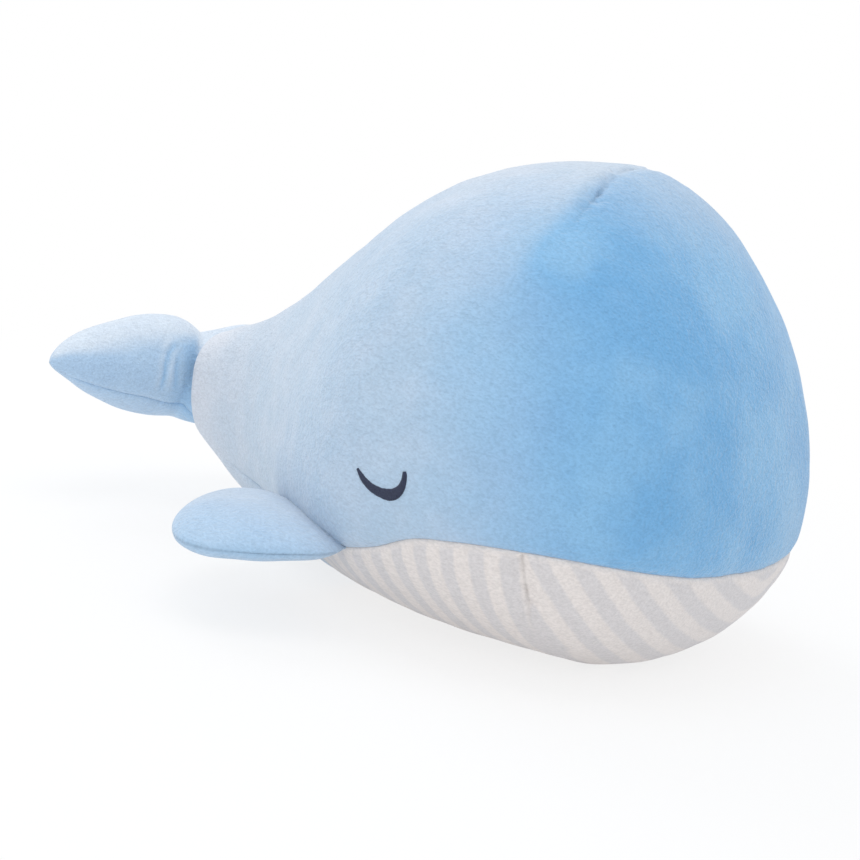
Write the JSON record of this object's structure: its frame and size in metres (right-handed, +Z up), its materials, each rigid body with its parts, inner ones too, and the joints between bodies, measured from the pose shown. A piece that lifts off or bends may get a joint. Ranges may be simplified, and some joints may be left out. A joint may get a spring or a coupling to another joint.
{
  "type": "plush whale",
  "caption": "Stuffed whale toy lying on its belly, with stitched closed eyes, a striped belly, sprung flippers and a tail that bends and swings.",
  "frame": {"origin": "on the floor, under the middle of the whale's length and width", "axes": "+X towards the head, +Y to the whale's left, +Z up from the floor that it lies on"},
  "size_m": [0.4552, 0.3792, 0.2511],
  "materials": {
    "blue_plush": "matte",
    "striped_plush": "matte",
    "eye_thread": "satin",
    "filling": "matte"
  },
  "bodies": {
    "body": {"body_filling": "filling", "upper_cover": "blue_plush", "belly_panel": "striped_plush", "rear_underside_panel": "blue_plush", "right_eye_embroidery": "eye_thread", "left_eye_embroidery": "eye_thread"},
    "right_flipper": {"right_flipper_upper_panel": "blue_plush", "right_flipper_lower_panel": "blue_plush", "right_flipper_filling": "filling"},
    "left_flipper": {"left_flipper_upper_panel": "blue_plush", "left_flipper_lower_panel": "blue_plush", "left_flipper_filling": "filling"},
    "tail_root": {"tail_root_cover": "blue_plush", "tail_root_filling": "filling"},
    "flukes": {"flukes_upper_panel": "blue_plush", "flukes_lower_panel": "blue_plush", "flukes_filling": "filling"}
  },
  "joints": [
    {"name": "right_flipper_flap", "type": "hinge", "parent": "body", "child": "right_flipper", "pos_m": [0.03086, -0.10639, 0.0425], "axis": [-0.8858, 0.464, 0], "range_deg": [-15, 20], "stiffness_Nm_per_rad": 0.4},
    {"name": "left_flipper_flap", "type": "hinge", "parent": "body", "child": "left_flipper", "pos_m": [0.03086, 0.10639, 0.0425], "axis": [0.8858, 0.464, 0], "range_deg": [-15, 20], "stiffness_Nm_per_rad": 0.4},
    {"name": "tail_swing", "type": "hinge", "parent": "body", "child": "tail_root", "pos_m": [-0.16764, 0, 0.0813], "axis": [0, 0, 1], "range_deg": [-10, 10], "stiffness_Nm_per_rad": 0.5},
    {"name": "tail_bend", "type": "hinge", "parent": "tail_root", "child": "flukes", "pos_m": [-0.16764, 0, 0.0813], "axis": [0, 1, 0], "range_deg": [-15, 15], "stiffness_Nm_per_rad": 0.8}
  ]
}
